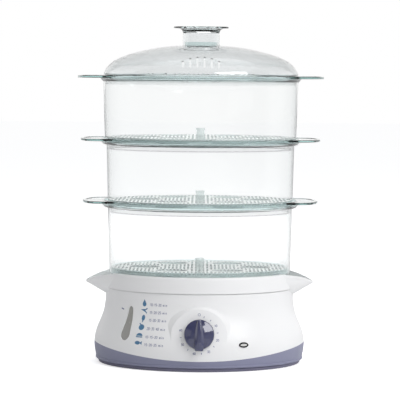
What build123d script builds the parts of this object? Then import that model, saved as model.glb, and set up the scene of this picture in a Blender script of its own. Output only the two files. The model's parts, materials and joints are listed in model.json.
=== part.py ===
from build123d import *
import math
import os

# Electric food steamer with three stacking baskets.
# Millimetres. +Z is up, -Y is the front with the timer knob, the origin is on the
# stack's axis at the level of the feet.

# ------------------------------------------------------------------ driving dimensions

WALL = 1.8                  # moulded wall of the clear parts
SHELL = 2.8                 # moulded wall of the base housing

PLATE_TOP = 4.8             # level where the skirt stands on the base plate
PLATE_RADIUS = 119.6
PLATE_FOOT = 0.5            # underside of the plate's rim, just clear of the table
HOUSING_TOP = 89.1
BELLY_RADIUS = 123.9        # widest part of the housing
BELLY_HEIGHT = 24.8
RIM_GROOVE_RADIUS = 109.3   # groove under the drip tray's edge
RIM_GROOVE_FOOT = 88.1

SADDLE_LOW = 12.7           # front and back height of the skirt's curved top edge
SADDLE_RADIUS = 600.0       # that edge is cut by a cylinder lying along Y

TANK_RADIUS = 84.0
TANK_FLOOR = 24.0
TANK_MOUTH = 103.0

TRAY_RADIUS = 112.0
TRAY_TOP = 107.5
SPOUT_TIP = 133.8
CHIMNEY_RADIUS = 31.0
CHIMNEY_TOP = 88.0

SEATS = [104.8, 184.6, 258.5]           # level each basket stands at
LID_SEAT = 333.2                        # level the lid's flange stands at
SHELVES = SEATS[1:] + [LID_SEAT]        # ledge in each collar that carries the piece above
COLLAR_TOPS = [191.2, 263.8, 337.2]     # top of each basket's collar, flush with its ears
WALL_FEET = [106.7, 108.8, 112.4]       # outer radius of each basket wall at its foot
WALL_HEADS = [108.5, 110.5, 115.1]      # and under its collar
PLUG_RADII = [102.0, 106.0, 107.9]      # skirt that drops into the piece below
COLLAR_RADII = [115.0, 116.6, 118.2]
PLUG_DEPTH = 7.3
EAR_TIPS = [138.3, 141.0, 145.0]        # half span over the two ears
EAR_HALF_WIDTH = 57.0
EAR_CORNER = 20.0
EAR_RIM = 2.6               # thickness of an ear's rounded rim
EAR_ROUND = 0.9
EAR_BORDER = 3.4            # width of that rim
EAR_RECESS = 0.5            # step down to the sheet inside the rim, on both faces

FLOOR_RISE = 7.2            # basket floor's top above the basket's seat
FLOOR_THICKNESS = 1.8
CUP_RADIUS = 20.0           # egg cup
CUP_CIRCLE = 65.0
CUP_DEPTH = 5.0
CUP_COUNT = 6
SLOT_PITCH = 4.5
SLOT_WIDTH = 2.3
RIB_PITCH = 39.0            # cross ribs that tie the grid's bars
RIB_WIDTH = 2.4

LID_SKIRT = 112.6           # skirt that drops into the top basket
LID_SKIRT_DEPTH = 6.2
LID_FLANGE = 115.9
LID_BAND_TOP = 339.5
DOME_TOP = 371.0
BOSS_RADIUS = 19.4          # solid boss that the lid knob is pressed over
BOSS_TOP = 377.0
KNOB_NECK = 21.7
KNOB_FLANGE = 32.3
KNOB_TOP = 395.0

VENT_COUNT = 6              # steam slots in the dome's front
VENT_PITCH = 8.2
VENT_WIDTH = 2.4
VENT_FOOT = 347.2
VENT_HEAD = 358.6
VENT_BOW = 0.011            # the outer slots end lower, by this times the distance squared

DIAL_HEIGHT = 43.2          # timer knob's centre
DIAL_TILT = 12.0            # its axis leans up by this many degrees
DIAL_RADIUS = 17.2
DIAL_DEPTH = 12.0           # the knob's rim above the dial's plane
GRIP_HEAD = 16.4            # ends of the knob's grip bar, up and down from its centre
GRIP_FOOT = -19.4
TIMER_DEPTH = 9.7           # the timer's mounting face behind the dial's plane
SHAFT_RADIUS = 3.0
TIMER_SCREWS = [-20, 20]    # their places across the dial
RUNNING = 0.05              # radial clearance of the timer shaft

GAUGE_ANGLE = 225.0         # meridian of the water gauge, from +X
GAUGE_FOOT = (40.5, 7.3)    # height and radius of the teardrop's round foot
GAUGE_HEAD = (68.3, 3.6)    # and of its narrow head
DUCT_WIDTH = 17.0           # box that carries water from the tank to the gauge
DUCT_HEIGHT = 42.0
DUCT_CENTRE = 53.0
LAMP_ANGLE = 294.4
LAMP_HEIGHT = 31.4
LAMP_HALF_LENGTH = 5.9
LAMP_HALF_HEIGHT = 3.1
POST_ANGLES = [20, 160, 200, 340]
POST_CIRCLE = 111.0
FOOT_CIRCLE = 98.0
FOOT_ANGLES = [45, 135, 225, 315]
CORD_HEIGHT = 24.0


# ------------------------------------------------------------------ helpers


def turned(*outline):
    """Solid of revolution about Z from a closed outline of (radius, height) points."""
    section = Plane.XZ * make_face(Polyline(*outline, close=True))
    return revolve(section, Axis.Z, 360)


def disc(radius, low, high):
    """Upright solid cylinder on the Z axis between two heights."""
    body = Cylinder(radius, high - low, align=(Align.CENTER, Align.CENTER, Align.MIN))
    return Pos(0, 0, low) * body


def tube(outer, inner, low, high):
    """Upright ring on the Z axis between two heights."""
    return disc(outer, low, high) - disc(inner, low - 1, high + 1)


def around(angles, radius, shape):
    """Copies of a shape built on the Z axis, moved out to a circle."""
    return [Rot(0, 0, a) * Pos(radius, 0, 0) * shape for a in angles]


def fused(shapes):
    """One solid of pieces that meet."""
    first, *rest = shapes
    for shape in rest:
        first = first + shape
    return first


def group(shapes):
    """Separate solids that share a node."""
    return Compound(children=list(shapes))


# ------------------------------------------------------------------ base housing

# Meridian of the white housing: a belly low down, then a bell-shaped sweep to the rim.
MERIDIAN = [
    (121.0, PLATE_TOP),
    (122.8, 13.0),
    (BELLY_RADIUS, BELLY_HEIGHT),
    (122.9, 33.1),
    (120.4, 41.5),
    (116.9, 49.8),
    (114.0, 57.1),
    (111.8, 66.0),
    (110.7, 78.0),
    (110.5, HOUSING_TOP),
]


def bell(inset=0.0, high=HOUSING_TOP):
    """The housing's outer form as a full solid, shrunk by a radial inset."""
    points = [(r - inset, z) for r, z in MERIDIAN]
    side = Spline(*points)
    foot = Polyline(points[-1], (0, HOUSING_TOP), (0, PLATE_TOP), points[0])
    body = revolve(Plane.XZ * make_face([side, foot]), Axis.Z, 360)
    if high < HOUSING_TOP:
        body = body & disc(150, 0, high)
    return body


def saddle(lift=0.0):
    """Cylinder lying along Y whose underside is the curved joint line."""
    centre = SADDLE_LOW + lift + SADDLE_RADIUS
    return Pos(0, 0, centre) * Rot(90, 0, 0) * Cylinder(SADDLE_RADIUS, 300)


def meridian_radius(height):
    """Outer radius of the housing at a height, between the meridian's points."""
    for (r0, z0), (r1, z1) in zip(MERIDIAN, MERIDIAN[1:]):
        if z0 <= height <= z1:
            return r0 + (r1 - r0) * (height - z0) / (z1 - z0)
    return MERIDIAN[-1][0]


PAD_RISE = 1.1              # pad round the dial, above the housing at the dial's height
PAD_FOOT = 33.0             # level where its steeper face runs into the housing
PAD_HEAD = 80.0
PAD_HALF_WIDTH = 26.9       # its section in the dial's plane
PAD_HALF_HEIGHT = 29.2
PAD_BEVEL = 1.2             # its edge spreads by this per millimetre of depth
DIAL_REACH = meridian_radius(DIAL_HEIGHT) + PAD_RISE
DIAL_PLANE = Plane(
    origin=(0, -DIAL_REACH, DIAL_HEIGHT),
    x_dir=(1, 0, 0),
    z_dir=(0, -math.cos(math.radians(DIAL_TILT)), math.sin(math.radians(DIAL_TILT))),
)


def radial_plane(angle, height):
    """Plane at a meridian that looks straight out, with its Y axis up."""
    a = math.radians(angle)
    return Plane(
        origin=(0, 0, height),
        x_dir=(-math.sin(a), math.cos(a), 0),
        z_dir=(math.cos(a), math.sin(a), 0),
    )


def dial_pad():
    """Arch-shaped pad round the dial, which stands out at its top and fades at its foot."""
    lean = math.tan(math.radians(DIAL_TILT))
    foot_radius = DIAL_REACH + (DIAL_HEIGHT - PAD_FOOT) * lean
    head_radius = DIAL_REACH + (DIAL_HEIGHT - PAD_HEAD) * lean
    skin = turned((0, PAD_FOOT), (foot_radius, PAD_FOOT), (head_radius, PAD_HEAD), (0, PAD_HEAD))
    sections = []
    for level in (-11.0, 3.0):
        spread = -level * PAD_BEVEL
        half_width = PAD_HALF_WIDTH + spread
        arch = Ellipse(half_width, PAD_HALF_HEIGHT + spread)
        legs = Pos(0, -30) * Rectangle(2 * half_width, 60)
        sections.append(DIAL_PLANE.offset(level) * (arch + legs))
    return loft(sections, ruled=True) & skin & saddle()


def gauge_outline(grow=0.0):
    """Teardrop of the water gauge: a full round foot and a narrow round head."""
    foot_height, foot_radius = GAUGE_FOOT
    head_height, head_radius = GAUGE_HEAD
    foot = Circle(foot_radius + grow)
    head = Pos(0, head_height - foot_height) * Circle(head_radius + grow)
    return make_hull((foot + head).edges())


def gauge_prism(grow=0.0):
    """The teardrop driven straight out along its meridian."""
    plane = radial_plane(GAUGE_ANGLE, GAUGE_FOOT[0]).offset(90)
    return extrude(plane * gauge_outline(grow), amount=50)


def lamp_prism(grow=0.0, near=100.0, far=140.0):
    """Oval of the pilot lamp driven straight out along its meridian."""
    plane = radial_plane(LAMP_ANGLE, LAMP_HEIGHT).offset(near)
    oval = Ellipse(LAMP_HALF_LENGTH + grow, LAMP_HALF_HEIGHT + grow)
    return extrude(plane * oval, amount=far - near)


# The tray's spouts: half ellipses that shrink towards the tip, as
# (distance from the axis, half width, lip height, keel height).
SPOUT = [
    (94.0, 57.0, 107.2, 73.0),
    (111.4, 37.0, 104.6, 81.0),
    (123.0, 21.0, 101.2, 87.6),
    (SPOUT_TIP, 6.0, 96.2, 93.6),
]
SPOUT_BEAD = 1.2            # bead that runs round the spout's lip


def spout_body(grow=0.0, open_top=0.0, trim=0.0):
    """Loft of the +X spout; a negative grow makes its channel."""
    faces = []
    for x, half, lip, keel in SPOUT:
        wide = half + grow
        deep = lip - keel + grow
        top = lip + open_top
        bow = EllipticalCenterArc((0, lip), wide, deep, start_angle=180, arc_size=180)
        sides = Line((wide, lip), (-wide, lip))
        if open_top:
            sides = Polyline((wide, lip), (wide, top), (-wide, top), (-wide, lip))
        faces.append(Plane.YZ.offset(x - trim) * make_face([bow, sides]))
    return loft(faces)


def both_sides(shape):
    """A shape on +X and its mirror image on -X, each a separate solid."""
    return [shape, mirror(shape, Plane.YZ)]


def make_housing():
    """White shell: bell, rim ledge for the tank, dial pad, posts and cut-outs."""
    shell = bell() + dial_pad()
    shell = shell - bell(SHELL, high=84.2) - disc(107.9, 86.5, 95) - disc(105.4, 80, 95)
    shell = shell - tube(BELLY_RADIUS, RIM_GROOVE_RADIUS, RIM_GROOVE_FOOT, HOUSING_TOP + 1)
    shell = shell & saddle()
    post = tube(4.0, 1.75, PLATE_TOP, 52)
    web = Pos(3, 0, 32) * Box(9, 2.0, 40, align=(Align.MIN, Align.CENTER, Align.MIN))
    posts = around(POST_ANGLES, POST_CIRCLE, post)
    webs = around(POST_ANGLES, POST_CIRCLE, web)
    inside = bell(SHELL - 0.6)
    shell = shell + [(w & inside) for w in webs]
    shell = shell + [(p & inside) for p in posts]
    shell = shell - gauge_prism() - lamp_prism()
    for notch in both_sides(spout_body(grow=0.5)):
        shell = shell - notch
    shell = shell - DIAL_PLANE * Cylinder(4.0, 30)
    base = (Align.CENTER, Align.CENTER, Align.MIN)
    for x in TIMER_SCREWS:
        seat = DIAL_PLANE.offset(0.1 - TIMER_DEPTH) * Pos(x, 0, 0)
        lug = seat * Cylinder(3.4, 9, align=base)
        hole = seat * Pos(0, 0, -0.1) * Cylinder(1.45, 5.5, align=base)
        shell = shell + (lug & bell(SHELL - 0.6)) - hole
    return shell - cord_outlet()


def cord_outlet():
    """Hole in the back wall for the gland."""
    return Pos(0, 120, CORD_HEIGHT) * Rot(90, 0, 0) * Cylinder(5.0, 20)


def make_base_skirt():
    """Coloured skirt under the saddle line, with a tongue behind the housing."""
    ring = bell(high=40) - bell(SHELL, high=41)
    ring = ring - saddle()
    tongue = bell(SHELL + 0.05, high=40) - bell(SHELL + 1.6, high=41)
    tongue = (tongue - saddle(3.3)) & disc(150, 8, 40)
    bridge = bell(SHELL - 0.4, high=10.5) - bell(SHELL + 1.6, high=12)
    bridge = bridge & disc(150, 7.5, 9.5)
    bead = turned(
        (120.0, PLATE_TOP), (121.5, PLATE_TOP), (122.2, 5.5), (122.3, 6.9), (121.4, 7.8),
        (120.0, 7.8),
    )
    skirt = ring + tongue + bridge + bead
    return skirt - around(POST_ANGLES, POST_CIRCLE, disc(4.4, 4, 40))


def make_base_plate():
    """Bottom plate: rim band with a groove over it, thin floor, seats, vents."""
    plate = turned(
        (0, 2.4), (108.4, 2.4), (108.4, PLATE_FOOT), (117.9, PLATE_FOOT), (118.7, 1.1),
        (PLATE_RADIUS, 3.6), (119.3, 4.1), (118.9, 4.2), (118.9, PLATE_TOP),
        (116.6, PLATE_TOP), (116.6, 8.2), (114.6, 8.2),
        (114.6, PLATE_TOP), (104.0, PLATE_TOP), (102.0, 4.6), (0, 4.6),
    )
    seats = around(FOOT_ANGLES, FOOT_CIRCLE, disc(9.5, 1.2, 4.6))
    plate = plate + seats
    plate = plate - around(FOOT_ANGLES, FOOT_CIRCLE, disc(3.0, 0, 6))
    plate = plate - around(POST_ANGLES, POST_CIRCLE, disc(2.0, 0, 9))
    plate = plate - around(POST_ANGLES, POST_CIRCLE, disc(4.2, 0, 3.4))
    plate = plate - around(POST_ANGLES, POST_CIRCLE, disc(4.4, PLATE_TOP, 9))
    vent = Pos(0, 0, 3.5) * Box(22, 4, 6)
    return plate - around(range(0, 360, 45), 62, vent)


def make_feet():
    """Four rubber feet, each with a stem through the plate."""
    foot = disc(8.0, 0, 1.2) + disc(3.0, 1.2, 4.6)
    return group(around(FOOT_ANGLES, FOOT_CIRCLE, foot))


def make_base_screws():
    """Four pan-head screws from below into the housing's posts."""
    screw = disc(3.6, 1.6, 3.4) + disc(1.7, 3.4, 24)
    slot = Pos(0, 0, 1.6) * Box(4.6, 1.0, 1.2)
    return group(around(POST_ANGLES, POST_CIRCLE, screw - slot))


def make_cord_gland():
    """Rubber bush in the back wall, where the mains lead leaves."""
    shape = turned(
        (3.4, -6.0), (3.4, 13.6), (5.2, 13.6), (7.2, 4.6), (8.0, 3.8), (8.0, 2.3),
        (4.95, 2.3), (4.95, 0), (7.6, 0), (7.6, -3.0), (5.0, -6.0),
    )
    inner_face = BELLY_RADIUS - SHELL
    back = Plane(origin=(0, inner_face, CORD_HEIGHT), x_dir=(1, 0, 0), z_dir=(0, 1, 0))
    return (back * shape) - (bell() - bell(SHELL) - cord_outlet())


# ------------------------------------------------------------------ tank and heater


def gauge_duct(grow):
    """Radial box that carries the tank's water out to the gauge."""
    block = Box(40, DUCT_WIDTH + 2 * grow, DUCT_HEIGHT + 2 * grow)
    return Rot(0, 0, GAUGE_ANGLE) * Pos(100, 0, DUCT_CENTRE) * block


def make_water_tank():
    """Water tank: flange, funnel, straight wall, floor with the heater's hole."""
    tank = turned(
        (107.6, 86.5), (107.6, 88.8), (TANK_MOUTH, 88.8), (101.8, 72.4),
        (TANK_RADIUS, 61), (TANK_RADIUS - 1, TANK_FLOOR), (22, TANK_FLOOR),
        (22, 22), (TANK_RADIUS + 1, 22), (TANK_RADIUS + 2, 60.2),
        (103.8, 71.6), (105.0, 86.5),
    )
    wall = 1.6
    room = turned(
        (0, 20), (TANK_RADIUS, 20), (TANK_RADIUS + 1, 60.6), (102.8, 72),
        (TANK_MOUTH + 0.6, 88), (0, 88),
    )
    inner_face = bell(SHELL + 0.2)
    duct = (gauge_duct(wall) & inner_face) - room
    hollow = gauge_duct(0) & disc(150, TANK_FLOOR, 75) & bell(SHELL - 1)
    tank = (tank + duct) - (hollow - disc(TANK_RADIUS - 6, 0, 120))
    for notch in both_sides(spout_body(grow=0.5)):
        tank = tank - notch
    return tank


def make_gauge_window():
    """Clear window: teardrop in the wall, with a flange behind it."""
    pane = gauge_prism(-0.05) & (bell(0.9) - bell(SHELL + 0.1))
    flange = gauge_prism(0.9) & (bell(SHELL + 0.02) - bell(SHELL + 1.4))
    return pane + flange


def make_heater_plate():
    """Stainless disc that closes the tank's hole, with two studs under it."""
    plate = turned(
        (0, 24.8), (30, 24.8), (30, 26.2), (18, 26.2), (16, 27.4), (0, 27.4),
    )
    studs = around([90, 270], 17, disc(2.0, 17.0, 25))
    holes = around([30, -30], 12, disc(3.4, 20, 30))
    return (plate + studs) - holes


def make_heater_gasket():
    """Silicone ring between the heater plate and the tank floor."""
    return tube(29.0, 23.0, TANK_FLOOR, 24.8)


def make_heater_tube():
    """Sheathed heating element: an open loop whose ends go down through the plate."""
    rod = 3.3
    level = 33.0
    loop_radius = 22.0
    ends = [Rot(0, 0, a) * Pos(12, 0, 0) * disc(rod, 12, level) for a in (30, -30)]
    section = Plane.XZ * Pos(loop_radius, level) * Circle(rod)
    loop = Rot(0, 0, 30) * revolve(section, Axis.Z, 300)
    arms = []
    for a in (30, -30):
        arm = Rot(0, 90, 0) * Cylinder(rod, 10)
        arms.append(Rot(0, 0, a) * Pos(17, 0, level) * arm)
    corners = [Rot(0, 0, a) * Pos(12, 0, level) * Sphere(rod) for a in (30, -30)]
    bends = [Rot(0, 0, a) * Pos(loop_radius, 0, level) * Sphere(rod) for a in (30, -30)]
    return fused([loop, *arms, *ends, *corners, *bends])


def make_heater_clamp():
    """Pressed ring under the tank floor that the studs pull up."""
    ring = tube(27.0, 8.4, 20.4, 22.0)
    legs = around([30, -30], 12, disc(3.8, 10, 30))
    return ring - around([90, 270], 17, disc(2.1, 10, 30)) - legs


def make_heater_nuts():
    """Two hexagon nuts on the heater plate's studs."""
    nut = extrude(RegularPolygon(4.0, 6), amount=2.8) - disc(2.05, -1, 4)
    return group(around([90, 270], 17, Pos(0, 0, 17.6) * nut))


def make_thermostat():
    """Dry-boil thermostat pressed on the underside of the heater plate."""
    can = disc(8.0, 17.0, 24.75) + disc(7.0, 13.0, 17.0)
    tabs = [Pos(x, 0, 10.5) * Box(0.8, 5, 5.5) for x in (-4, 4)]
    return fused([can, *tabs])


def make_thermal_fuse():
    """Sleeved one-shot fuse clipped under the tank floor."""
    body = Rot(0, 90, 0) * Cylinder(2.2, 14)
    leads = Rot(0, 90, 0) * Cylinder(0.6, 26)
    return Pos(0, -38, 19.6) * (body + leads)


def make_steam_ring():
    """Loose tapered ring round the heater, with inlet notches at its foot."""
    ring = turned((40, 24), (38.2, 24), (36.2, 62), (38.0, 62), (38.6, 50))
    lip = tube(39.4, 36.6, 60.2, 62)
    notch = Pos(0, 0, 26) * Box(12, 9, 8)
    return (ring + lip) - around([45, 135, 225, 315], 39, notch)


# ------------------------------------------------------------------ timer and lamp


def make_timer_knob():
    """Dished knob with a broad grip bar from its rim to just past its foot."""
    bore = SHAFT_RADIUS + 0.02
    inner_lip = (DIAL_RADIUS - 1.4, DIAL_DEPTH - 0.3)
    outer_lip = (DIAL_RADIUS - 0.5, DIAL_DEPTH - 0.5)
    dish = Spline((0, 8.2), (6.0, 8.1), (10.5, 8.4), (13.8, 9.8), inner_lip)
    lip = ThreePointArc(inner_lip, (DIAL_RADIUS - 0.9, DIAL_DEPTH), outer_lip)
    under = Polyline(outer_lip, (DIAL_RADIUS, 0.8), (15.4, 0.8), (15.0, 6.6), (6.0, 6.6),
                     (6.0, 1.6), (bore, 1.6), (bore, 6.0), (0, 6.0), (0, 8.2))
    body = revolve(Plane.XZ * make_face([dish, lip, under]), Axis.Z, 360)
    left = ThreePointArc((-1.6, GRIP_HEAD), (-5.0, 1.0), (-4.5, GRIP_FOOT))
    low = ThreePointArc((-4.5, GRIP_FOOT), (0, GRIP_FOOT - 0.6), (4.5, GRIP_FOOT))
    right = ThreePointArc((4.5, GRIP_FOOT), (5.0, 1.0), (1.6, GRIP_HEAD))
    high = Line((1.6, GRIP_HEAD), (-1.6, GRIP_HEAD))
    plan = make_face([left, low, right, high])
    bar = extrude(Plane.XY.offset(6.8) * plan, amount=10, taper=6)
    crown_radius = 140.0
    crown = Pos(0, 0, DIAL_DEPTH + 1.8 - crown_radius) * Rot(0, 90, 0) * Cylinder(crown_radius, 60)
    return DIAL_PLANE * (body + (bar & crown))


def make_timer_shaft():
    """Timer's output shaft, which the knob is pushed onto."""
    base = (Align.CENTER, Align.CENTER, Align.MIN)
    return DIAL_PLANE * Pos(0, 0, -20) * Cylinder(SHAFT_RADIUS, 25.8, align=base)


def make_timer_body():
    """Clockwork case with its mounting plate, behind the housing wall."""
    case = Pos(0, 0, -10.4) * Box(34, 32, 18.0)
    plate = Pos(0, 0, -0.7) * Box(48, 18, 1.4)
    bell_cup = Pos(0, 2, -20.5) * Cylinder(12, 3)
    bore = Cylinder(SHAFT_RADIUS + RUNNING, 60)
    holes = [Pos(x, 0, -0.7) * Cylinder(1.6, 6) for x in TIMER_SCREWS]
    body = fused([case, plate, bell_cup]) - Pos(0, 0, 18) * bore - holes
    return DIAL_PLANE.offset(-TIMER_DEPTH) * body


def make_timer_screws():
    """Two screws that hold the timer's plate to the housing's lugs."""
    base = (Align.CENTER, Align.CENTER, Align.MIN)
    screw = Cylinder(2.8, 1.6, align=base) + Pos(0, 0, 1.6) * Cylinder(1.4, 5.0, align=base)
    heads = DIAL_PLANE.offset(-TIMER_DEPTH - 3.0)
    return group([heads * Pos(x, 0, 0) * screw for x in TIMER_SCREWS])


def make_lamp_bezel():
    """Oval frame of the pilot lamp."""
    frame = lamp_prism(-0.05) & (bell(-0.6) - bell(SHELL + 1.2))
    return frame - lamp_prism(-1.7)


def make_lamp_lens():
    """Clear oval lens in the frame."""
    return lamp_prism(-1.75) & (bell(-0.3) - bell(SHELL + 1.0))


def make_lamp_body():
    """Neon tube behind the lens."""
    plane = radial_plane(LAMP_ANGLE, LAMP_HEIGHT)
    return plane * Pos(0, 0, 110.4) * Cylinder(2.6, 14)


def make_terminal_block():
    """Three-way terminal block on the base plate, with its screws."""
    block = Box(24, 12, 9, align=(Align.CENTER, Align.CENTER, Align.MIN))
    wells = [Pos(x, 0, 6) * Cylinder(2.2, 8) for x in (-7.5, 0, 7.5)]
    mouths = [Pos(x, 0, 3) * Rot(90, 0, 0) * Cylinder(1.7, 20) for x in (-7.5, 0, 7.5)]
    return Pos(30, 84, 4.6) * (block - wells - mouths)


def make_internal_wires():
    """Wires from the terminal block to the timer, lamp and heater."""
    routes = [
        [(22.5, 77.6, 7.6), (22.5, 60, 7.6), (58, 0, 7.6), (40, -78, 9.5), (22, -96, 14.5)],
        [(30, 77.6, 7.6), (30, 50, 7.6), (13, 12, 8.0)],
        [(37.5, 77.6, 7.6), (40, 60, 7.6), (76, 0, 7.6), (60, -80, 9.5), (46, -98, 20)],
    ]
    wires = []
    for route in routes:
        path = FilletPolyline(*route, radius=5.0)
        section = Plane(origin=path @ 0, z_dir=path % 0) * Circle(1.2)
        wires.append(sweep(section, path=path))
    return group(wires)


# ------------------------------------------------------------------ drip tray


def make_drip_tray():
    """Drip tray: rim and hanging skirt, basin, steam chimney, two pouring spouts."""
    tray = turned(
        (TRAY_RADIUS, HOUSING_TOP), (TRAY_RADIUS, 105.6), (111.2, 107.1), (109.8, TRAY_TOP),
        (107.7, TRAY_TOP), (107.4, SEATS[0]), (103.9, SEATS[0]), (100.7, 88),
        (99.0, 76.6), (97.2, 74.8), (34.0, 73.6), (32.8, CHIMNEY_TOP),
        (CHIMNEY_RADIUS, CHIMNEY_TOP), (CHIMNEY_RADIUS + 0.6, 71.8), (98.0, 73.0),
        (100.8, 75.8), (102.4, 88), (105.3, 103.0), (110.2, 103.0), (110.2, 91.0),
        (107.9, 91.0), (107.9, HOUSING_TOP),
    )
    wide = spout_body(SPOUT_BEAD)
    bead = wide - Pos(0, 0, -2 * SPOUT_BEAD) * wide
    spout = (spout_body() - disc(99.0, 60, 120)) + (bead - disc(TRAY_RADIUS - 1, 60, 120))
    channel = spout_body(-WALL, 14, 0.4) - disc(97.0, 60, 120)
    for piece in both_sides(spout):
        tray = tray + piece
    for piece in both_sides(channel):
        tray = tray - piece
    return tray


# ------------------------------------------------------------------ baskets and floors


def ear_plan(tip, inset=0.0):
    """Both ears in plan: a circle cut to a band, with round corners."""
    band = Rectangle(2 * tip, 2 * (EAR_HALF_WIDTH - inset))
    wings = Circle(tip - inset) & band
    return fillet(wings.vertices(), EAR_CORNER - inset)


def make_ears(tip, root):
    """Pair of ears that start at a root circle: a rounded rim round a thinner sheet."""
    slab = extrude(ear_plan(tip), amount=EAR_RIM)
    levels = slab.edges().group_by(Axis.Z)
    slab = fillet(levels[0] + levels[-1], EAR_ROUND)
    recess = extrude(ear_plan(tip, EAR_BORDER), amount=EAR_RIM)
    slab = slab - Pos(0, 0, EAR_RIM - EAR_RECESS) * recess
    slab = slab - Pos(0, 0, EAR_RECESS - EAR_RIM) * recess
    return slab - disc(root, -1, EAR_RIM + 1)


def make_basket(tier):
    """Clear basket: plug skirt, seat step, tapered wall, collar with two ears."""
    seat = SEATS[tier]
    shelf = SHELVES[tier]
    foot = WALL_FEET[tier]
    head = WALL_HEADS[tier]
    plug = PLUG_RADII[tier]
    collar = COLLAR_RADII[tier]
    top = COLLAR_TOPS[tier]
    body = turned(
        (plug - 0.4, seat - PLUG_DEPTH), (plug, seat), (foot, seat), (head, shelf - 2.8),
        (collar - 2.0, shelf - 1.6), (collar, shelf + 0.6), (collar, top - 0.5),
        (collar - 0.5, top), (collar - WALL, top), (collar - WALL, shelf),
        (head - WALL, shelf), (foot - WALL, seat + WALL), (plug - WALL, seat + WALL),
        (plug - WALL - 0.4, seat - PLUG_DEPTH),
    )
    ears = make_ears(EAR_TIPS[tier], collar - WALL / 2)
    return body + Pos(0, 0, top - EAR_RIM) * ears


def bar_gaps(x, reach):
    """Lengths of one slot column: the chord less the egg cups, knob and ribs."""
    chord = math.sqrt(reach * reach - x * x) - 3.0
    blocks = [(y - RIB_WIDTH / 2, y + RIB_WIDTH / 2) for y in rib_lines()]
    circles = [(0.0, 0.0, 9.0)]
    for step in range(CUP_COUNT):
        a = math.radians(step * 360 / CUP_COUNT)
        circles.append((CUP_CIRCLE * math.cos(a), CUP_CIRCLE * math.sin(a), CUP_RADIUS + 2.4))
    for cx, cy, radius in circles:
        if abs(x - cx) < radius:
            half = math.sqrt(radius * radius - (x - cx) ** 2)
            blocks.append((cy - half, cy + half))
    gaps = []
    start = -chord
    for low, high in sorted(blocks) + [(chord, chord + 1)]:
        end = min(low, chord)
        if end - start > 3.5:
            gaps.append((start, end))
        start = max(start, high)
    return gaps


def rib_lines():
    """Y positions of the cross ribs."""
    return [RIB_PITCH * (n - 2) for n in range(5)]


def make_floor(tier):
    """Basket floor: slotted grid, six egg cups, rim ring and central lifting knob."""
    radius = WALL_FEET[tier] - WALL - 0.5
    top = SEATS[tier] + FLOOR_RISE
    low = SEATS[tier] + WALL
    reach = radius - 2.0
    slots = []
    columns = int(reach / SLOT_PITCH)
    for n in range(-columns, columns + 1):
        for start, end in bar_gaps(n * SLOT_PITCH, reach):
            slot = Rectangle(SLOT_WIDTH, end - start)
            slots.append(Pos(n * SLOT_PITCH, (start + end) / 2) * slot)
    cups = [p * Circle(CUP_RADIUS) for p in PolarLocations(CUP_CIRCLE, CUP_COUNT)]
    plan = Circle(radius) - slots - cups
    grid = Pos(0, 0, top - FLOOR_THICKNESS) * extrude(plan, amount=FLOOR_THICKNESS)
    rim = tube(radius, radius - 2.0, low, top)
    cup = turned(
        (CUP_RADIUS, top), (CUP_RADIUS, top - FLOOR_THICKNESS),
        (CUP_RADIUS - 1.6, top - CUP_DEPTH - 1.6),
        (4, top - CUP_DEPTH - 1.6), (4, top - CUP_DEPTH),
        (CUP_RADIUS - 2.8, top - CUP_DEPTH), (CUP_RADIUS - 1.4, top),
    )
    lift = disc(4.7, top - FLOOR_THICKNESS, top + 8.5) + disc(5.6, top + 8.0, top + 10.5)
    floor = grid + rim + lift
    cup_ring = [p * cup for p in PolarLocations(CUP_CIRCLE, CUP_COUNT)]
    return floor + cup_ring


# ------------------------------------------------------------------ lid

# Meridian of the dome, from its band up to the flat round the knob.
DOME = [
    (114.5, LID_BAND_TOP),
    (113.2, 343.0),
    (109.6, 348.4),
    (104.5, 353.2),
    (97.0, 357.6),
    (76.0, 364.8),
    (52.0, 370.0),
    (25.5, 372.9),
]


def dome_inside():
    """The dome's meridian moved in by the wall along its own normals."""
    moved = []
    for i, (r, z) in enumerate(DOME):
        before = DOME[max(i - 1, 0)]
        after = DOME[min(i + 1, len(DOME) - 1)]
        run = math.hypot(after[0] - before[0], after[1] - before[1])
        moved.append((r - WALL * (after[1] - before[1]) / run, z + WALL * (after[0] - before[0]) / run))
    return moved


def make_lid():
    """Clear domed lid: skirt, flange, dome, knob boss and the steam slots."""
    inner = dome_inside()
    outside = Spline(*DOME)
    inside = Spline(*inner)
    crown = Polyline(DOME[-1], (24.2, 372.2), (24.0, DOME_TOP), (BOSS_RADIUS, DOME_TOP),
                     (BOSS_RADIUS, BOSS_TOP), (0, BOSS_TOP), (0, DOME_TOP - WALL), inner[-1])
    skirt_foot = LID_SEAT - LID_SKIRT_DEPTH
    skirt_inside = LID_SKIRT - WALL
    band = Polyline(inner[0], (LID_SKIRT, 335.6), (skirt_inside, 334.0), (skirt_inside, skirt_foot),
                    (LID_SKIRT, skirt_foot), (LID_SKIRT, LID_SEAT), (LID_FLANGE, LID_SEAT),
                    (LID_FLANGE, 336.9), (LID_FLANGE - 0.6, 337.6), (114.5, 338.0), DOME[0])
    seam_at_back = Rot(0, 0, 90)
    dome = seam_at_back * revolve(Plane.XZ * make_face([outside, crown, inside, band]), Axis.Z, 360)
    for n in range(VENT_COUNT):
        across = VENT_PITCH * (n - (VENT_COUNT - 1) / 2)
        high = VENT_HEAD - VENT_BOW * across * across - VENT_FOOT
        slot = SlotOverall(high, VENT_WIDTH, rotation=90)
        front = Plane.XZ.offset(80) * Pos(across, VENT_FOOT + high / 2) * slot
        dome = dome - extrude(front, amount=40)
    return dome


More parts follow.
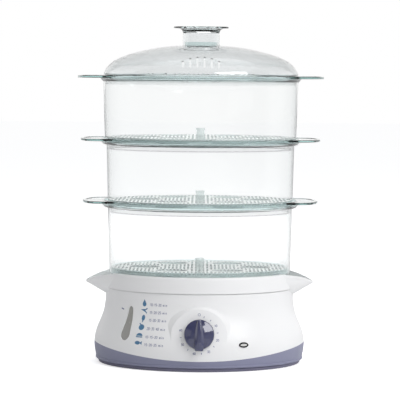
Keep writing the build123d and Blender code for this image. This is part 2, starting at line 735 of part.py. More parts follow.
def make_lid_knob():
    """Hollow clear knob: thin dished flange on a straight neck, pressed over the boss."""
    foot = DOME_TOP + 0.05
    bore = BOSS_RADIUS + 0.1
    neck = Polyline((bore, foot), (KNOB_NECK, foot), (21.5, 386.0))
    throat = Spline((21.5, 386.0), (21.9, 389.5), (23.4, 391.6), (27.0, 392.9), (KNOB_FLANGE, 393.3))
    edge = Polyline((KNOB_FLANGE, 393.3), (KNOB_FLANGE, KNOB_TOP - 0.4), (KNOB_FLANGE - 0.4, KNOB_TOP),
                    (29.5, KNOB_TOP - 0.1))
    dish = Spline((29.5, KNOB_TOP - 0.1), (24.0, 393.4), (12.0, 390.7), (0, 390.0))
    inside = Polyline((0, 390.0), (0, 388.1), (12.0, 388.7), (17.6, 389.6), (bore, 387.6), (bore, foot))
    section = make_face([neck, throat, edge, dish, inside])
    return revolve(Plane.XZ * section, Axis.Z, 360)


# ------------------------------------------------------------------ write the nodes

PIECES = {
    "housing": make_housing,
    "base_skirt": make_base_skirt,
    "base_plate": make_base_plate,
    "feet": make_feet,
    "base_screws": make_base_screws,
    "cord_gland": make_cord_gland,
    "water_tank": make_water_tank,
    "gauge_window": make_gauge_window,
    "heater_plate": make_heater_plate,
    "heater_gasket": make_heater_gasket,
    "heater_tube": make_heater_tube,
    "heater_clamp": make_heater_clamp,
    "heater_nuts": make_heater_nuts,
    "thermostat": make_thermostat,
    "thermal_fuse": make_thermal_fuse,
    "steam_ring": make_steam_ring,
    "timer_knob": make_timer_knob,
    "timer_shaft": make_timer_shaft,
    "timer_body": make_timer_body,
    "timer_screws": make_timer_screws,
    "lamp_bezel": make_lamp_bezel,
    "lamp_lens": make_lamp_lens,
    "lamp_body": make_lamp_body,
    "terminal_block": make_terminal_block,
    "internal_wires": make_internal_wires,
    "drip_tray": make_drip_tray,
    "lid": make_lid,
    "lid_knob": make_lid_knob,
}

os.makedirs("parts", exist_ok=True)
for node, make in PIECES.items():
    export_step(make(), f"parts/{node}.step")
for tier in range(3):
    export_step(make_basket(tier), f"parts/basket_{tier + 1}.step")
    export_step(make_floor(tier), f"parts/basket_floor_{tier + 1}.step")
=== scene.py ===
"""Electric food steamer: finishes, printed marks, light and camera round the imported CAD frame."""

import json
import math

import bmesh
import bpy
from mathutils import Matrix, Vector
from mathutils.bvhtree import BVHTree


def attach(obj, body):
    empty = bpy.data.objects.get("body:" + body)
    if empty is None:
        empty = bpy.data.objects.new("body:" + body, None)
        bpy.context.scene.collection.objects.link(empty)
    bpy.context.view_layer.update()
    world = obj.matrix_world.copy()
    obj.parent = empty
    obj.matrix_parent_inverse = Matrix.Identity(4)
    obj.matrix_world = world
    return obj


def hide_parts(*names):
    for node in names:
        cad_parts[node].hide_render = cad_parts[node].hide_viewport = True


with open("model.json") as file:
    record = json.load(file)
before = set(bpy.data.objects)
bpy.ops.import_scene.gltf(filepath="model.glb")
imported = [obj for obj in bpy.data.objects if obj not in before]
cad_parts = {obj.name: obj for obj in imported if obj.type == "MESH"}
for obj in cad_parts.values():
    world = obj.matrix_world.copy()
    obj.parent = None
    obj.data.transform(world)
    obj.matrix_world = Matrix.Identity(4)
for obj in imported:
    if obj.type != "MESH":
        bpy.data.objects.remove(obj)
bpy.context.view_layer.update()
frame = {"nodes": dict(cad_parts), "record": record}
nodes = frame["nodes"]
dial_joint = next(j for j in frame["record"]["behaviour"]["joints"] if j["name"] == "timer_turn")
MM = 0.001

scene = bpy.context.scene
scene.view_settings.view_transform = "Standard"


# ------------------------------------------------------------------ camera

IMAGE_SIZE = 400            # pixels, both ways
FOCAL_PIXELS = 2667.0       # focal length in pixels of that image
SENSOR = 36.0
EYE_DISTANCE = 3.144
EYE_HEIGHT = 0.3565
EYE_LEVEL = 59.5            # row of the image at the eye's height
TILT_DOWN = math.degrees(math.atan((IMAGE_SIZE / 2 - EYE_LEVEL) / FOCAL_PIXELS))
ROLL = 0.4
SIDE_SHIFT = -0.0001        # how far the camera stands to the right of the object's axis


def make_camera():
    data = bpy.data.cameras.new("photo_camera")
    data.sensor_width = SENSOR
    data.lens = SENSOR * FOCAL_PIXELS / IMAGE_SIZE
    data.clip_start = 0.05
    data.clip_end = 60.0
    camera = bpy.data.objects.new("photo_camera", data)
    scene.collection.objects.link(camera)
    tilt = Matrix.Rotation(math.radians(90.0 - TILT_DOWN), 4, "X")
    roll = Matrix.Rotation(math.radians(ROLL), 4, "Z")
    place = Matrix.Translation((SIDE_SHIFT, -EYE_DISTANCE, EYE_HEIGHT))
    camera.matrix_world = place @ tilt @ roll
    scene.camera = camera


# ------------------------------------------------------------------ node helpers

NOISE_LOW = 0.3             # nearly all of a noise texture lies between these two
NOISE_HIGH = 0.7
BAND_FADE = 1.0             # millimetres over which a band fades out, above and below


class Shader:
    """A material's node tree, with short calls to add and join nodes."""

    def __init__(self, name):
        self.material = bpy.data.materials.new(name)
        self.material.use_nodes = True
        self.tree = self.material.node_tree
        self.tree.nodes.clear()
        self.output = self.add("ShaderNodeOutputMaterial")

    def add(self, kind, **values):
        node = self.tree.nodes.new(kind)
        for key, value in values.items():
            setattr(node, key, value)
        return node

    def join(self, source, target):
        self.tree.links.new(source, target)

    def noise(self, scale, detail=2.0, stretch=(1, 1, 1)):
        """Noise in the piece's own space, in features per metre."""
        place = self.add("ShaderNodeTexCoord")
        mapping = self.add("ShaderNodeMapping")
        mapping.inputs["Scale"].default_value = stretch
        noise = self.add("ShaderNodeTexNoise")
        noise.inputs["Scale"].default_value = scale
        noise.inputs["Detail"].default_value = detail
        self.join(place.outputs["Object"], mapping.inputs["Vector"])
        self.join(mapping.outputs["Vector"], noise.inputs["Vector"])
        return noise.outputs["Fac"]

    def ramp(self, value, low, high):
        """Maps noise to the range from low to high."""
        node = self.add("ShaderNodeMapRange")
        node.inputs["From Min"].default_value = NOISE_LOW
        node.inputs["From Max"].default_value = NOISE_HIGH
        node.inputs["To Min"].default_value = low
        node.inputs["To Max"].default_value = high
        self.join(value, node.inputs["Value"])
        return node.outputs["Result"]

    def height_bands(self, bands):
        """Each band's strength between its two heights, in millimetres, and 0 away from them."""
        place = self.add("ShaderNodeTexCoord")
        split = self.add("ShaderNodeSeparateXYZ")
        self.join(place.outputs["Object"], split.inputs[0])
        total = None
        for low, high, strength in bands:
            near = self.add("ShaderNodeMath", operation="SUBTRACT")
            near.inputs[1].default_value = (low + high) / 2 * MM
            self.join(split.outputs["Z"], near.inputs[0])
            away = self.add("ShaderNodeMath", operation="ABSOLUTE")
            self.join(near.outputs[0], away.inputs[0])
            mask = self.add("ShaderNodeMapRange", interpolation_type="SMOOTHSTEP")
            mask.inputs["From Min"].default_value = (high - low) / 2 * MM
            mask.inputs["From Max"].default_value = (high - low + 2 * BAND_FADE) / 2 * MM
            mask.inputs["To Min"].default_value = strength
            mask.inputs["To Max"].default_value = 0.0
            self.join(away.outputs[0], mask.inputs["Value"])
            if total is None:
                total = mask.outputs["Result"]
                continue
            either = self.add("ShaderNodeMath", operation="MAXIMUM")
            self.join(total, either.inputs[0])
            self.join(mask.outputs["Result"], either.inputs[1])
            total = either.outputs[0]
        return total

    def blend_colours(self, factor, first, second):
        """Mixes a colour, or another mix, with a second colour."""
        node = self.add("ShaderNodeMix", data_type="RGBA")
        if isinstance(first, tuple):
            node.inputs["A"].default_value = (*first, 1.0)
        else:
            self.join(first, node.inputs["A"])
        node.inputs["B"].default_value = (*second, 1.0)
        self.join(factor, node.inputs["Factor"])
        return node.outputs["Result"]

    def bump(self, height, strength, distance):
        node = self.add("ShaderNodeBump")
        node.inputs["Strength"].default_value = strength
        node.inputs["Distance"].default_value = distance
        self.join(height, node.inputs["Height"])
        return node.outputs["Normal"]


def scaled(colour, factor):
    return tuple(min(1.0, c * factor) for c in colour)


# ------------------------------------------------------------------ materials

# Noise scales, in features per metre.
FLOW_MARKS = 14.0
GLOSS_PATCHES = 60.0
CLEAR_PATCHES = 45.0
CLEAR_RIPPLES = 30.0
DRAWN_LINES = 300.0

PLASTIC_IOR = 1.49
POLISH_IOR = 1.62
POLISH_ROUGHNESS = 0.06


def moulded(name, colour, roughness, grain=900.0, relief=0.00002, mottle=0.03, polish=0.0):
    """Opaque moulded plastic: fine spark texture, faint flow marks, uneven gloss, maybe polished."""
    s = Shader(name)
    p = s.add("ShaderNodeBsdfPrincipled")
    flow = s.noise(FLOW_MARKS, 3.0, (1, 1, 0.4))
    tone = s.blend_colours(flow, scaled(colour, 1 - mottle), scaled(colour, 1 + mottle))
    s.join(tone, p.inputs["Base Color"])
    s.join(s.ramp(s.noise(GLOSS_PATCHES), roughness - 0.05, roughness + 0.05), p.inputs["Roughness"])
    s.join(s.bump(s.noise(grain, 1.0), 0.35, relief), p.inputs["Normal"])
    p.inputs["IOR"].default_value = PLASTIC_IOR
    p.inputs["Coat Weight"].default_value = polish
    p.inputs["Coat Roughness"].default_value = POLISH_ROUGHNESS
    p.inputs["Coat IOR"].default_value = POLISH_IOR
    s.join(p.outputs["BSDF"], s.output.inputs["Surface"])
    return s.material


def clear(name, tint, density, roughness, bend=1.5, passing=0.93, wave=0.25, milk=0.0,
          body=(1.0, 1.0, 1.0), bands=()):
    """Clear moulded plastic that bends light and lets the lamps through.

    The tint and density colour its thickness, passing is the light that its shadow lets by, milk is its
    share of scattered light, and the bands paint shade into its colour: a teal or grey tone at set heights
    where parts stack, standing in for the light lost through the layers.
    """
    s = Shader(name)
    p = s.add("ShaderNodeBsdfPrincipled")
    p.inputs["Base Color"].default_value = (*body, 1.0)
    tone = body
    # Painted shade: blends a teal or grey tone into the colour at the bands' heights.
    for shade, heights in bands:
        tone = s.blend_colours(s.height_bands(heights), tone, shade)
    if bands:
        s.join(tone, p.inputs["Base Color"])
    p.inputs["Transmission Weight"].default_value = 1.0 - milk
    p.inputs["IOR"].default_value = bend
    s.join(s.ramp(s.noise(CLEAR_PATCHES), roughness * 0.6, roughness * 1.4), p.inputs["Roughness"])
    s.join(s.bump(s.noise(CLEAR_RIPPLES, 1.0, (1, 1, 0.3)), wave, 0.0002), p.inputs["Normal"])
    through = s.add("ShaderNodeBsdfTransparent")
    through.inputs["Color"].default_value = (passing, passing, passing, 1.0)
    ray = s.add("ShaderNodeLightPath")
    mix = s.add("ShaderNodeMixShader")
    s.join(ray.outputs["Is Shadow Ray"], mix.inputs["Fac"])
    s.join(p.outputs["BSDF"], mix.inputs[1])
    s.join(through.outputs["BSDF"], mix.inputs[2])
    s.join(mix.outputs["Shader"], s.output.inputs["Surface"])
    if density:
        inside = s.add("ShaderNodeVolumeAbsorption")
        inside.inputs["Color"].default_value = (*tint, 1.0)
        inside.inputs["Density"].default_value = density
        s.join(inside.outputs["Volume"], s.output.inputs["Volume"])
    return s.material


def metal(name, colour, roughness, stretch=(1, 1, 30)):
    """Rolled or turned steel with fine drawn lines."""
    s = Shader(name)
    p = s.add("ShaderNodeBsdfPrincipled")
    p.inputs["Metallic"].default_value = 1.0
    lines = s.noise(DRAWN_LINES, 2.0, stretch)
    tone = s.blend_colours(lines, scaled(colour, 0.88), scaled(colour, 1.08))
    s.join(tone, p.inputs["Base Color"])
    s.join(s.ramp(lines, roughness - 0.08, roughness + 0.08), p.inputs["Roughness"])
    s.join(s.bump(lines, 0.2, 0.00002), p.inputs["Normal"])
    s.join(p.outputs["BSDF"], s.output.inputs["Surface"])
    return s.material


WHITE = (0.90, 0.90, 0.905)
VIOLET = (0.252, 0.259, 0.372)
VIOLET_LOW = (0.21, 0.205, 0.29)
SLATE = (0.034, 0.038, 0.108)
TEAL = (0.5, 0.8, 0.77)
FLOOR_GREY = (0.83, 0.865, 0.86)
FLOOR_TEAL = (0.62, 0.76, 0.75)
DOME_GREY = (0.915, 0.92, 0.925)
PAINTED_LAYER_TEAL = (0.80, 0.86, 0.86)
PAINTED_PLUG_SHADE = (0.78, 0.77, 0.78)
# Painted shade on the clear plastic, as heights, each low, high and strength. Where a basket's foot, its
# floor's edge and the collar round them lie one behind the other, a teal tone is painted in for the light
# lost through the stacked layers. A grey tone is painted at each plug skirt that drops into a basket
# below, most of all at the skirt's foot, for the shade there.
PAINTED_STACK_SHADE = [
    (PAINTED_LAYER_TEAL, [(105.0, 112.5, 1.0), (184.6, 191.0, 1.0), (258.5, 263.6, 1.0), (333.2, 339.0, 1.0)]),
    (PAINTED_PLUG_SHADE, [(178.0, 183.0, 0.28), (252.0, 257.0, 0.28), (177.2, 177.7, 1.0), (251.1, 251.6, 1.0)]),
]


# Colour, roughness, and for some grain, relief, mottle and polish.
MOULDED = {
    "white_housing": (WHITE, 0.33),
    "violet_skirt": (VIOLET, 0.45),
    "violet_plate": (VIOLET_LOW, 0.5),
    "foot_rubber": ((0.03, 0.03, 0.032), 0.8, 500.0, 0.00005, 0.15),
    "gland_rubber": ((0.55, 0.55, 0.57), 0.7, 500.0, 0.00004, 0.08),
    "white_tank": ((0.80, 0.80, 0.81), 0.4),
    "gauge_grey": ((0.375, 0.37, 0.35), 0.25, 300.0, 0.00001, 0.05),
    "seal_silicone": ((0.62, 0.12, 0.06), 0.6, 400.0, 0.00003, 0.08),
    "thermostat_case": ((0.70, 0.66, 0.58), 0.55, 700.0, 0.00003, 0.06),
    "fuse_sleeve": ((0.74, 0.72, 0.62), 0.85, 1500.0, 0.0001, 0.12),
    "ring_white": ((0.78, 0.78, 0.79), 0.42),
    "knob_violet": (SLATE, 0.14, 700.0, 0.000005, 0.06, 1.0),
    "bezel_black": ((0.012, 0.012, 0.012), 0.25, 900.0, 0.00001, 0.05),
    "lamp_neon": ((0.75, 0.72, 0.66), 0.2, 300.0, 0.00001, 0.05),
    "terminal_nylon": ((0.72, 0.70, 0.62), 0.5, 700.0, 0.00003, 0.05),
    "wire_sleeve": ((0.70, 0.70, 0.72), 0.55, 500.0, 0.00003, 0.05),
    "white_tray": (WHITE, 0.34),
}

# Colour, roughness, and for some the stretch of the drawn lines.
METAL = {
    "screw_steel": ((0.62, 0.62, 0.64), 0.35),
    "heater_steel": ((0.72, 0.72, 0.72), 0.22, (30, 1, 1)),
    "heater_sheath": ((0.42, 0.39, 0.36), 0.42, (4, 4, 30)),
    "clamp_steel": ((0.6, 0.6, 0.62), 0.35),
    "nut_steel": ((0.62, 0.61, 0.58), 0.3),
    "shaft_steel": ((0.6, 0.6, 0.6), 0.3),
    "timer_case": ((0.66, 0.66, 0.68), 0.38),
}

CLEAR = {
    "lens_clear": dict(
        tint=(0.9, 0.9, 0.85), density=0.0, roughness=0.12, milk=0.75, body=(0.88, 0.88, 0.86)),
    "basket_clear": dict(tint=TEAL, density=11.0, roughness=0.02, bend=1.4, bands=PAINTED_STACK_SHADE),
    "floor_clear": dict(
        tint=FLOOR_TEAL, density=24.0, roughness=0.08, bend=1.25, passing=0.95, wave=0.1, milk=0.26,
        body=FLOOR_GREY),
    "lid_clear": dict(
        tint=TEAL, density=13.0, roughness=0.03, wave=0.1, body=DOME_GREY, bands=PAINTED_STACK_SHADE),
}


def make_materials():
    """One material for each slot that the CAD nodes name."""
    made = {}
    for name, finish in MOULDED.items():
        made[name] = moulded(name, *finish)
    for name, finish in METAL.items():
        made[name] = metal(name, *finish)
    for name, finish in CLEAR.items():
        made[name] = clear(name, **finish)
    return made


def dress_nodes(materials):
    """Gives each CAD node its slot's material."""
    for part in frame["record"]["subparts"]:
        node = nodes[part["node"]]
        node.data.materials.clear()
        node.data.materials.append(materials[part["material_slot"]])


# ------------------------------------------------------------------ printed marks

INK_OUT = 0.00008           # the print's face above the plastic
INK_IN = 0.00003            # its underside, just below the plastic's face
ICON_ANGLE = -34.6          # meridian of the pictograms, from the front
ROW_ANGLE = -25.0           # and of the cooking times beside them
ROW_HEIGHTS = [76.8, 68.0, 59.2, 49.8, 40.6, 31.9]
ROW_DROP = 1.6              # how far a row's words lie below the middle of its pictogram
ROW_LETTERS = 2.7           # height of the rows' digits
ROW_TEXTS = [
    "10-15-20 min", "15-20-25 min", "15-20-30 min", "20-35-40 min", "10-15-20 min", "15-20-25 min",
]
LEVEL_ANGLE = -52.5         # meridian of the gauge's level mark
LEVEL_HEIGHT = 68.0
WALL_REACH = 0.118          # the wall's usual radius, which spreads the print evenly
MINUTE_START = 15.0         # dial angle of 0 minutes, clockwise from the top
MINUTE_STEP = 4.5           # degrees for each minute
SCALE_DIGITS = 2.4          # height of the dial's digits
SCALE_RADIUS = 21.8         # circle on which they stand
TICK_RADII = (20.2, 22.2)
OFF_RADIUS = 23.2           # where the off mark's ring stands, straight up
OFF_RING = 1.4

# Strokes of the digits, and of the short word for minutes, on a grid 2 wide and 4 high.
SIGNS = {
    "0": [[(0, 0.5), (0, 3.5), (0.5, 4), (1.5, 4), (2, 3.5), (2, 0.5), (1.5, 0), (0.5, 0), (0, 0.5)]],
    "1": [[(0.4, 3.2), (1.2, 4), (1.2, 0)]],
    "2": [[(0, 3.4), (0.5, 4), (1.5, 4), (2, 3.4), (2, 2.6), (0, 0), (2, 0)]],
    "3": [[(0, 4), (2, 4), (1, 2.4), (2, 1.6), (2, 0.6), (1.4, 0), (0, 0.2)]],
    "4": [[(1.5, 0), (1.5, 4), (0, 1.2), (2.1, 1.2)]],
    "5": [[(2, 4), (0.2, 4), (0, 2.3), (1.4, 2.4), (2, 1.6), (2, 0.7), (1.4, 0), (0, 0.2)]],
    "6": [[(1.8, 4), (0.4, 2.8), (0, 1.4), (0.4, 0.2), (1.5, 0), (2, 0.9), (1.6, 2), (0.2, 1.8)]],
    "-": [[(0.4, 2), (1.6, 2)]],
    "m": [
        [(0, 0), (0, 2.6)],
        [(0, 2.2), (0.7, 2.6), (1, 2.2), (1, 0)],
        [(1, 2.2), (1.7, 2.6), (2, 2.2), (2, 0)],
    ],
    "i": [[(1, 0), (1, 2.6)], [(1, 3.5), (1, 4)]],
    "n": [[(0.2, 0), (0.2, 2.6)], [(0.2, 2.1), (1, 2.6), (1.7, 2.1), (1.7, 0)]],
    " ": [],
}


def wall_ray(angle, height):
    """Rays that meet the base's wall square on round one point."""
    def ray(across, up):
        turn = math.radians(angle) + across / WALL_REACH
        out = Vector((math.sin(turn), -math.cos(turn), 0.0))
        return out * 0.2 + Vector((0, 0, height * MM + up)), -out
    return ray


def dial_up(axis):
    """The way up in the plane of the dial, square to its axis."""
    return (Vector((0, 0, 1)) - axis * axis.z).normalized()


def dial_ray():
    """Rays along the dial's axis, with across and up in the dial's plane."""
    centre = Vector(dial_joint["pos_m"])
    inward = Vector(dial_joint["axis"])
    up_way = dial_up(inward)

    def ray(across, up):
        return centre + Vector((across, 0, 0)) + up_way * up - inward * 0.05, inward
    return ray


def oval(x, y, half_width, half_height, start=0.0, sweep=360.0, count=20):
    """Points of an ellipse, or of a part of one."""
    points = []
    for n in range(count):
        a = math.radians(start + sweep * n / (count if sweep == 360 else count - 1))
        points.append((x + half_width * math.cos(a), y + half_height * math.sin(a)))
    return points


def stroke(points, width):
    """Outline of a pen line of even width through the points."""
    left = []
    right = []
    for n, point in enumerate(points):
        before = Vector(points[max(n - 1, 0)])
        after = Vector(points[min(n + 1, len(points) - 1)])
        side = (after - before).normalized().orthogonal() * width / 2
        left.append(tuple(Vector(point) + side))
        right.append(tuple(Vector(point) - side))
    return left + right[::-1]


class Ink:
    """Print on one node: closed thin plates that follow its surface."""

    def __init__(self, node):
        mesh = nodes[node].data
        corners = [v.co.copy() for v in mesh.vertices]
        self.tree = BVHTree.FromPolygons(corners, [tuple(p.vertices) for p in mesh.polygons])
        self.mesh = bmesh.new()

    def plate(self, outline, ray, place=(0.0, 0.0), scale=1.0):
        """One plate; the outline is in millimetres across and up from the place."""
        tops = []
        feet = []
        middle = (sum(x for x, y in outline) / len(outline), sum(y for x, y in outline) / len(outline))
        for x, y in [middle, *outline]:
            start, way = ray((place[0] + x * scale) * MM, (place[1] + y * scale) * MM)
            hit, normal = self.tree.ray_cast(start, way)[:2]
            tops.append(self.mesh.verts.new(hit + normal * INK_OUT))
            feet.append(self.mesh.verts.new(hit - normal * INK_IN))
        for n in range(1, len(tops)):
            before = n - 1 if n > 1 else len(tops) - 1
            self.mesh.faces.new((tops[0], tops[before], tops[n]))
            self.mesh.faces.new((feet[0], feet[n], feet[before]))
            self.mesh.faces.new((tops[before], feet[before], feet[n], tops[n]))

    def line(self, points, width, ray, place=(0.0, 0.0), scale=1.0):
        """A pen line as one plate for each run, so that closed loops stay open inside."""
        for first, second in zip(points, points[1:]):
            self.plate(stroke([first, second], width / scale), ray, place, scale)

    def words(self, text, height, ray, pen, place=(0.0, 0.0)):
        """Digits and letters side by side, centred on the place."""
        scale = height / 4
        pitch = 2.9 * scale
        start = place[0] - pitch * (len(text) - 1) / 2 - scale
        for n, sign in enumerate(text):
            for points in SIGNS[sign]:
                self.line(points, pen, ray, (start + n * pitch, place[1] - height / 2), scale)

    def build(self, name, material, body):
        bmesh.ops.recalc_face_normals(self.mesh, faces=self.mesh.faces)
        mesh = bpy.data.meshes.new(name)
        self.mesh.to_mesh(mesh)
        self.mesh.free()
        mesh.materials.append(material)
        piece = bpy.data.objects.new(name, mesh)
        scene.collection.objects.link(piece)
        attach(piece, body)


def pictogram_shapes():
    """Six plain kitchen signs, each as filled outlines in millimetres."""
    drop = [(0, 4.3)] + oval(0, -1.1, 2.7, 2.8, 30, -240, 15)
    root = [(-5.0, 1.4), (1.2, 1.9), (1.6, -1.4)]
    leaves = [stroke([(1.4, 0.8), (4.6, 2.9)], 1.3), stroke([(1.6, -0.3), (4.2, -2.7)], 1.3)]
    leg = [oval(0.2, 0.8, 2.4, 3.3), stroke([(0, -2.0), (-0.2, -4.2)], 1.2)]
    fruit = [oval(0.3, -0.4, 3.8, 3.2), stroke([(-1.2, 2.4), (-3.6, 3.9)], 1.1)]
    bun = [oval(0, -0.9, 4.2, 3.2, 0, 180, 14), stroke([(-4.2, -2.0), (4.2, -2.0)], 1.2)]
    fish = [oval(-1.0, 0, 3.5, 2.1), [(2.0, 0), (4.7, 2.2), (4.7, -2.2)]]
    return [[drop], [root, *leaves], leg, fruit, bun, fish]


def print_marks():
    """Pictograms, cooking times, the dial's scale and the gauge's level mark on the housing."""
    blue = moulded("ink_blue", (0.09, 0.22, 0.38), 0.4, 900.0, 0.00001, 0.1)
    grey = moulded("ink_grey", (0.17, 0.18, 0.33), 0.4, 900.0, 0.00001, 0.1)
    signs = Ink("housing")
    for shapes, height in zip(pictogram_shapes(), ROW_HEIGHTS):
        for outline in shapes:
            signs.plate(outline, wall_ray(ICON_ANGLE, height))
    signs.build("printed_signs", blue, "base")
    rows = Ink("housing")
    for text, height in zip(ROW_TEXTS, ROW_HEIGHTS):
        rows.words(text, ROW_LETTERS, wall_ray(ROW_ANGLE, height - ROW_DROP), 0.4)
    rows.line([(-2.4, 0.5), (2.4, -0.5)], 1.3, wall_ray(LEVEL_ANGLE, LEVEL_HEIGHT))
    rows.build("printed_numbers", grey, "base")
    scale = Ink("housing")
    face = dial_ray()
    for minutes in range(10, 61, 10):
        a = math.radians(MINUTE_START + MINUTE_STEP * minutes)
        place = (SCALE_RADIUS * math.sin(a), SCALE_RADIUS * math.cos(a))
        scale.words(str(minutes), SCALE_DIGITS, face, 0.42, place)
    for minutes in (0, 5, 15, 25, 35, 45, 55):
        a = math.radians(MINUTE_START + MINUTE_STEP * minutes)
        scale.line([(r * math.sin(a), r * math.cos(a)) for r in TICK_RADII], 0.6, face)
    ring = oval(0, OFF_RADIUS, OFF_RING, OFF_RING)
    scale.line(ring + ring[:1], 0.4, face)
    scale.build("printed_dial_scale", grey, "base")


# ------------------------------------------------------------------ timer knob

KNOB_CENTRE = 11.2          # height of the domed face's middle above the dial's plane
KNOB_BOW = 31.0             # radius that the face is domed by
KNOB_EDGE = 15.6            # radius where the face turns over into the side
KNOB_RADIUS = 17.2
GRIP_FOOT = -19.3           # the grip's ends, down and up from the knob's centre
GRIP_HEAD = 16.3
GRIP_UNDERSIDE = 6.0
GRIP_SHOULDER = 10.2        # height where the grip's sides start to lean in
GRIP_CROWN = 13.7
GRIP_BOW = 62.0             # radius that the grip's ridge is bowed by
GRIP_EDGE = 0.5             # rounding of the grip's edges
KNOB_SEGMENTS = 96
GRIP_STATIONS = 18


def knob_profile():
    """Radius and height round the knob's section, from its middle out, under and back in."""
    face = [(r, KNOB_CENTRE - r * r / (2 * KNOB_BOW)) for r in (0.0, 3.1, 6.2, 9.3, 12.4, KNOB_EDGE)]
    turn = KNOB_RADIUS - KNOB_EDGE
    low = face[-1][1] - turn
    edge = []
    for n in range(1, 6):
        a = math.radians(90 - 18 * n)
        edge.append((KNOB_EDGE + turn * math.cos(a), low + turn * math.sin(a)))
    under = [(KNOB_RADIUS, 0.8), (15.4, 0.8), (15.0, 6.6), (6.0, 6.6), (6.0, 1.6), (3.02, 1.6), (3.02, 6.0)]
    return face + edge + under + [(0.0, 6.0)]


def grip_half_width(up):
    """Half the grip's width, which narrows towards its head."""
    return 5.2 - 0.1 * up - 0.007 * up * up


def add_dome(shape):
    """The knob's turned body."""
    rings = []
    for radius, height in knob_profile():
        count = KNOB_SEGMENTS if radius else 1
        ring = []
        for n in range(count):
            a = 2 * math.pi * n / count
            ring.append(shape.verts.new((radius * math.cos(a), radius * math.sin(a), height)))
        rings.append(ring)
    for first, second in zip(rings, rings[1:]):
        for n in range(KNOB_SEGMENTS):
            corners = [first[n % len(first)], second[n % len(second)]]
            corners += [second[(n + 1) % len(second)], first[(n + 1) % len(first)]]
            shape.faces.new(list(dict.fromkeys(corners)))


def add_grip(shape):
    """The ridged bar across the dome; returns its faces."""
    sections = []
    for n in range(GRIP_STATIONS + 1):
        place = GRIP_FOOT + (GRIP_HEAD - GRIP_FOOT) * n / GRIP_STATIONS
        wide = grip_half_width(place)
        crown = GRIP_CROWN - place * place / (2 * GRIP_BOW)
        half = [(wide, GRIP_UNDERSIDE), (wide, GRIP_SHOULDER), (0.4 * wide, crown)]
        corners = half + [(-x, z) for x, z in half[::-1]]
        sections.append([shape.verts.new((x, place, z)) for x, z in corners])
    faces = [shape.faces.new(sections[0]), shape.faces.new(sections[-1][::-1])]
    for first, second in zip(sections, sections[1:]):
        for n in range(6):
            after = (n + 1) % 6
            faces.append(shape.faces.new((first[n], second[n], second[after], first[after])))
    return faces


def make_knob(material):
    """Domed knob with a ridged grip, which stands for the dished knob of the frame."""
    shape = bmesh.new()
    add_dome(shape)
    grip = set(add_grip(shape))
    bmesh.ops.recalc_face_normals(shape, faces=shape.faces)
    edges = []
    for edge in shape.edges:
        if grip.issuperset(edge.link_faces) and edge.calc_face_angle(0) > math.radians(20):
            edges.append(edge)
    bmesh.ops.bevel(shape, geom=edges, offset=GRIP_EDGE, segments=3, affect="EDGES")
    out = -Vector(dial_joint["axis"])
    turn = Matrix((Vector((1, 0, 0)), dial_up(out), out)).transposed().to_4x4()
    shape.transform(Matrix.Translation(dial_joint["pos_m"]) @ turn @ Matrix.Scale(MM, 4))
    mesh = bpy.data.meshes.new("timer_knob_glossy")
    shape.to_mesh(mesh)
    shape.free()
    mesh.shade_smooth()
    mesh.set_sharp_from_angle(angle=math.radians(35))
    mesh.materials.append(material)
    knob = bpy.data.objects.new("timer_knob_glossy", mesh)
    scene.collection.objects.link(knob)
    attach(knob, "timer_dial")
    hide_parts("timer_knob")


# ------------------------------------------------------------------ floor, light

FLOOR_HALF = 12.0           # metres from the middle to each side
FLOOR_COLOUR = (0.9, 0.9, 0.9, 1.0)
FLOOR_LIFT = 0.62           # own light where it is seen, which takes it to white outside the shadow
NEAR_SHARE = 0.35           # share of that light close by, seen through clear plastic
NEAR_END = 0.8              # metres from the object where the share starts to rise
FAR_START = 2.6             # and where it is whole
LAMP_TARGET = (0.0, 0.0, 0.16)


def make_floor():
    """Plain pale floor, which renders white away from the object's shadow."""
    mesh = bpy.data.meshes.new("floor")
    half = FLOOR_HALF
    corners = [(-half, -half, 0), (half, -half, 0), (half, half, 0), (-half, half, 0)]
    mesh.from_pydata(corners, [], [(0, 1, 2, 3)])
    floor = bpy.data.objects.new("floor", mesh)
    scene.collection.objects.link(floor)
    s = Shader("floor_white")
    matt = s.add("ShaderNodeBsdfDiffuse")
    matt.inputs["Color"].default_value = FLOOR_COLOUR
    glow = s.add("ShaderNodeEmission")
    ray = s.add("ShaderNodeLightPath")
    # Through clear plastic the floor close by is a little darker, so that the walls show against it.
    place = s.add("ShaderNodeTexCoord")
    distance = s.add("ShaderNodeVectorMath", operation="LENGTH")
    s.join(place.outputs["Object"], distance.inputs[0])
    far = s.add("ShaderNodeMapRange", interpolation_type="SMOOTHSTEP")
    far.inputs["From Min"].default_value = NEAR_END
    far.inputs["From Max"].default_value = FAR_START
    far.inputs["To Min"].default_value = NEAR_SHARE
    far.inputs["To Max"].default_value = 1.0
    s.join(distance.outputs["Value"], far.inputs["Value"])
    through = s.add("ShaderNodeMath", operation="MULTIPLY")
    s.join(ray.outputs["Is Transmission Ray"], through.inputs[0])
    s.join(far.outputs["Result"], through.inputs[1])
    seen = s.add("ShaderNodeMath", operation="ADD", use_clamp=True)
    s.join(ray.outputs["Is Camera Ray"], seen.inputs[0])
    s.join(through.outputs[0], seen.inputs[1])
    lift = s.add("ShaderNodeMath", operation="MULTIPLY")
    lift.inputs[1].default_value = FLOOR_LIFT
    s.join(seen.outputs[0], lift.inputs[0])
    s.join(lift.outputs[0], glow.inputs["Strength"])
    whole = s.add("ShaderNodeAddShader")
    s.join(matt.outputs[0], whole.inputs[0])
    s.join(glow.outputs[0], whole.inputs[1])
    s.join(whole.outputs[0], s.output.inputs["Surface"])
    mesh.materials.append(s.material)


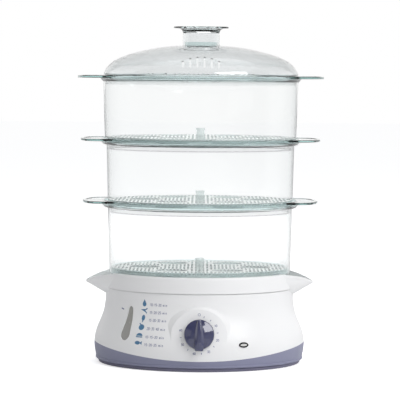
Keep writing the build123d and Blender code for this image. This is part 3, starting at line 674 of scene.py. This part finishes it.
def make_world():
    """White where it is seen or shines through, softer where it only lights."""
    world = bpy.data.worlds.new("studio")
    world.use_nodes = True
    scene.world = world
    tree = world.node_tree
    tree.nodes.clear()

    def add(kind, **values):
        node = tree.nodes.new(kind)
        for key, value in values.items():
            setattr(node, key, value)
        return node

    output = add("ShaderNodeOutputWorld")
    ray = add("ShaderNodeLightPath")
    place = add("ShaderNodeTexCoord")
    split = add("ShaderNodeSeparateXYZ")
    tree.links.new(place.outputs["Generated"], split.inputs[0])

    def fade(axis, start, end, first, last):
        """A level that goes from first to last as the direction's share along the axis rises."""
        node = add("ShaderNodeMapRange", interpolation_type="SMOOTHSTEP")
        node.inputs["From Min"].default_value = start
        node.inputs["From Max"].default_value = end
        node.inputs["To Min"].default_value = first
        node.inputs["To Max"].default_value = last
        tree.links.new(split.outputs[axis], node.inputs["Value"])
        return node.outputs["Result"]

    def both(operation, first, second):
        """Two levels combined."""
        node = add("ShaderNodeMath", operation=operation)
        tree.links.new(first, node.inputs[0])
        tree.links.new(second, node.inputs[1])
        return node.outputs[0]

    # The room that clear and glossy faces show: dimmer in front, overhead and at the front left.
    room = both("MULTIPLY", fade("Y", -0.6, 0.5, 0.6, 1.0), fade("Z", 0.08, 0.55, 1.0, 0.5))
    dark_left = both("MAXIMUM", fade("X", -0.85, -0.1, 0.35, 1.0), fade("Y", -0.3, 0.2, 0.0, 1.0))
    white = (1.0, 1.0, 1.0, 1.0)
    bent = add("ShaderNodeBackground")
    bent.inputs["Color"].default_value = white
    tree.links.new(both("MULTIPLY", room, dark_left), bent.inputs["Strength"])
    seen = add("ShaderNodeBackground")
    seen.inputs["Color"].default_value = white
    seen.inputs["Strength"].default_value = 1.0
    fill = add("ShaderNodeBackground")
    fill.inputs["Color"].default_value = (0.97, 0.98, 1.0, 1.0)
    tree.links.new(fade("X", -0.7, 0.7, 0.32, 0.5), fill.inputs["Strength"])
    first = add("ShaderNodeMixShader")
    mirrored = both("MAXIMUM", ray.outputs["Is Glossy Ray"], ray.outputs["Is Transmission Ray"])
    tree.links.new(mirrored, first.inputs["Fac"])
    tree.links.new(fill.outputs[0], first.inputs[1])
    tree.links.new(bent.outputs[0], first.inputs[2])
    second = add("ShaderNodeMixShader")
    tree.links.new(ray.outputs["Is Camera Ray"], second.inputs["Fac"])
    tree.links.new(first.outputs[0], second.inputs[1])
    tree.links.new(seen.outputs[0], second.inputs[2])
    tree.links.new(second.outputs[0], output.inputs["Surface"])


def area_light(name, place, size, power):
    """A soft lamp aimed at the middle of the object."""
    data = bpy.data.lights.new(name, "AREA")
    data.shape = "RECTANGLE"
    data.size, data.size_y = size
    data.energy = power
    light = bpy.data.objects.new(name, data)
    scene.collection.objects.link(light)
    light.location = place
    aim = Vector(LAMP_TARGET) - Vector(place)
    light.rotation_mode = "QUATERNION"
    light.rotation_quaternion = aim.to_track_quat("-Z", "Y")
    return light


def make_lights():
    """Key from the right, weak fill from the left, top light and back light."""
    area_light("key_right", (1.57, -1.75, 1.86), (1.7, 1.4), 38.0)
    area_light("fill_left", (-1.9, -1.5, 0.9), (1.6, 1.0), 2.0)
    top = area_light("top", (0.3, 0.2, 2.2), (2.4, 1.8), 14.0)
    top.visible_glossy = False
    back = area_light("back", (-0.7, 2.4, 1.3), (2.0, 1.2), 9.0)
    back.visible_glossy = False
    back.visible_transmission = False


# ------------------------------------------------------------------ the scene

make_camera()
make_world()
make_lights()
make_floor()
materials = make_materials()
dress_nodes(materials)
print_marks()
make_knob(materials["knob_violet"])
